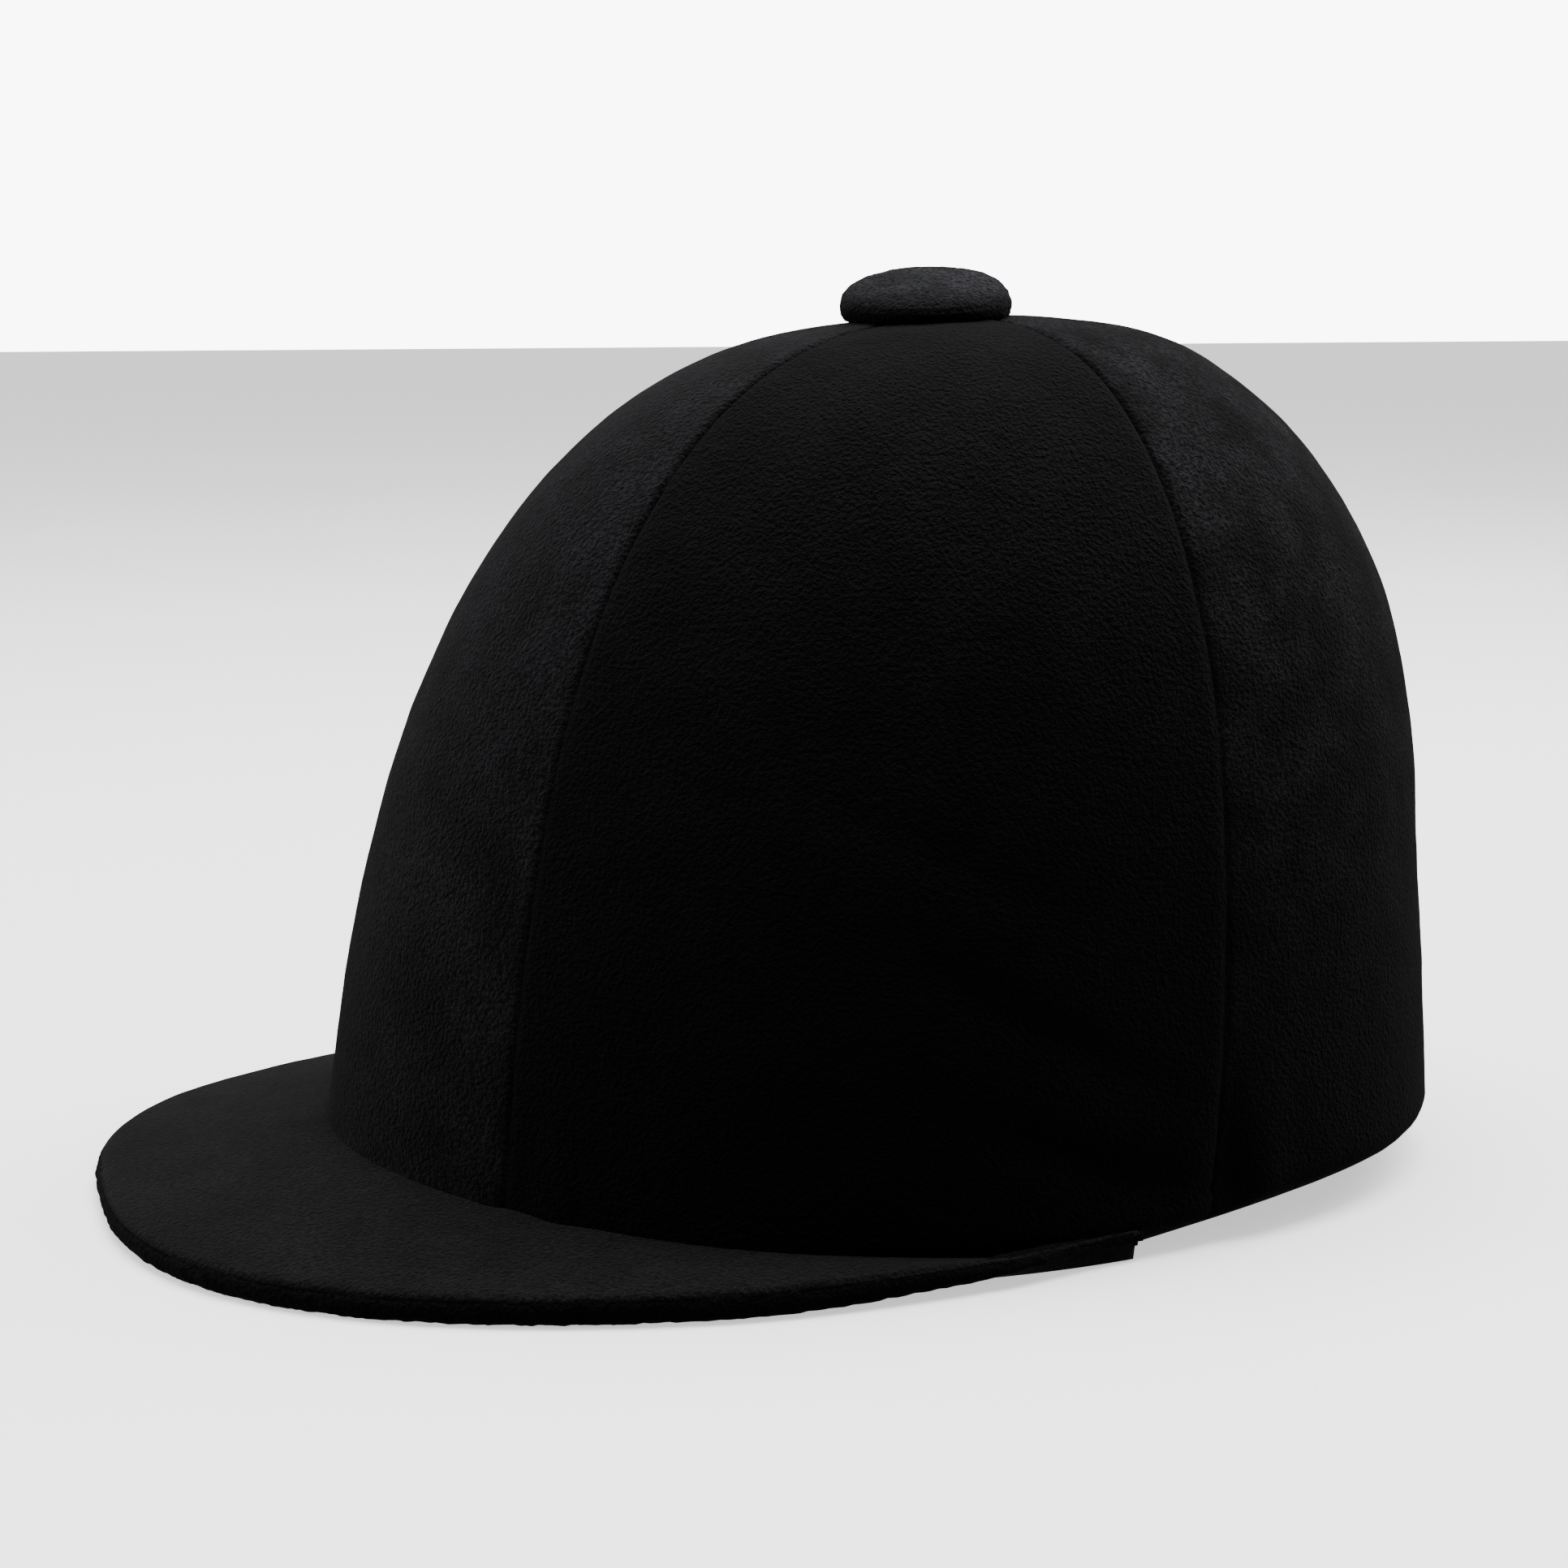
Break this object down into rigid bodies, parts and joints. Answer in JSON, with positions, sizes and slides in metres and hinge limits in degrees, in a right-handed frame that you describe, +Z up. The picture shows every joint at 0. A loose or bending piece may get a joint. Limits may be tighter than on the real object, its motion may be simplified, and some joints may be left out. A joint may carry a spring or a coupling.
{
  "type": "riding helmet",
  "caption": "Tall domed riding helmet in a pull-on velvet cover of gored panels with a soft front peak and covered top button; harness tucked up inside.",
  "frame": {"origin": "middle of the hat's length and width, on the surface it stands on", "axes": "+Z up, -Y towards the wearer's front (the peak), +X to the wearer's left"},
  "size_m": [0.2372, 0.3213, 0.215],
  "materials": {
    "velvet": "cut-pile cotton velvet, black",
    "peak_under_velvet": "short-pile velvet, black",
    "edge_velvet": "velvet rolled over a cord, black",
    "button_velvet": "coarse pile, black",
    "lining_cloth": "plain woven satin lining",
    "casing_cloth": "woven tape",
    "elastic": "braided elastic",
    "stiffener_board": "flexible polyethylene sheet",
    "button_former": "moulded",
    "shell": "moulded glass-fibre reinforced shell",
    "edge_rubber": "moulded",
    "shock_foam": "expanded polystyrene bead foam",
    "comfort_cloth": "brushed knit over foam",
    "webbing": "woven nylon webbing",
    "divider": "stitched leather",
    "buckle_plastic": "moulded acetal",
    "steel": "zinc plated"
  },
  "bodies": {
    "helmet": {"shell": "shell", "shell_edge_trim": "edge_rubber", "shock_liner": "shock_foam", "crown_pad": "comfort_cloth", "headband": "comfort_cloth", "rivets": "steel", "anchor_washers": "steel", "left_front_strap": "webbing", "left_rear_strap": "webbing", "right_front_strap": "webbing", "right_rear_strap": "webbing", "left_strap_divider": "divider", "right_strap_divider": "divider", "nape_strap": "webbing", "left_chin_strap": "webbing", "right_chin_strap": "webbing", "buckle_female": "buckle_plastic"},
    "cover": {"cover_front_panel": "velvet", "cover_left_panel": "velvet", "cover_right_panel": "velvet", "cover_rear_left_panel": "velvet", "cover_rear_right_panel": "velvet", "cover_lining": "lining_cloth", "hem_fold": "velvet", "hem_casing": "casing_cloth", "hem_elastic": "elastic", "peak_stiffener": "stiffener_board", "peak_top_velvet": "velvet", "peak_under_lining": "peak_under_velvet", "peak_edge_roll": "edge_velvet", "button_velvet": "button_velvet", "button_core": "button_former", "button_shank": "button_former"},
    "buckle_plug": {"buckle_male": "buckle_plastic"},
    "strap_adjuster": {"strap_slider": "buckle_plastic"}
  },
  "joints": [
    {"name": "cover_lift", "type": "slide", "parent": "helmet", "child": "cover", "axis": [0, 0.1172, 0.9931], "range_m": [0, 0.22], "deforming": ["hem_fold", "hem_casing", "hem_elastic"]},
    {"name": "buckle_release", "type": "slide", "parent": "helmet", "child": "buckle_plug", "axis": [1, 0, 0], "range_m": [0, 0.02], "deforming": ["left_chin_strap"]},
    {"name": "slider_adjust", "type": "slide", "parent": "helmet", "child": "strap_adjuster", "axis": [1, 0, 0], "range_m": [-0.005, 0.009]}
  ]
}
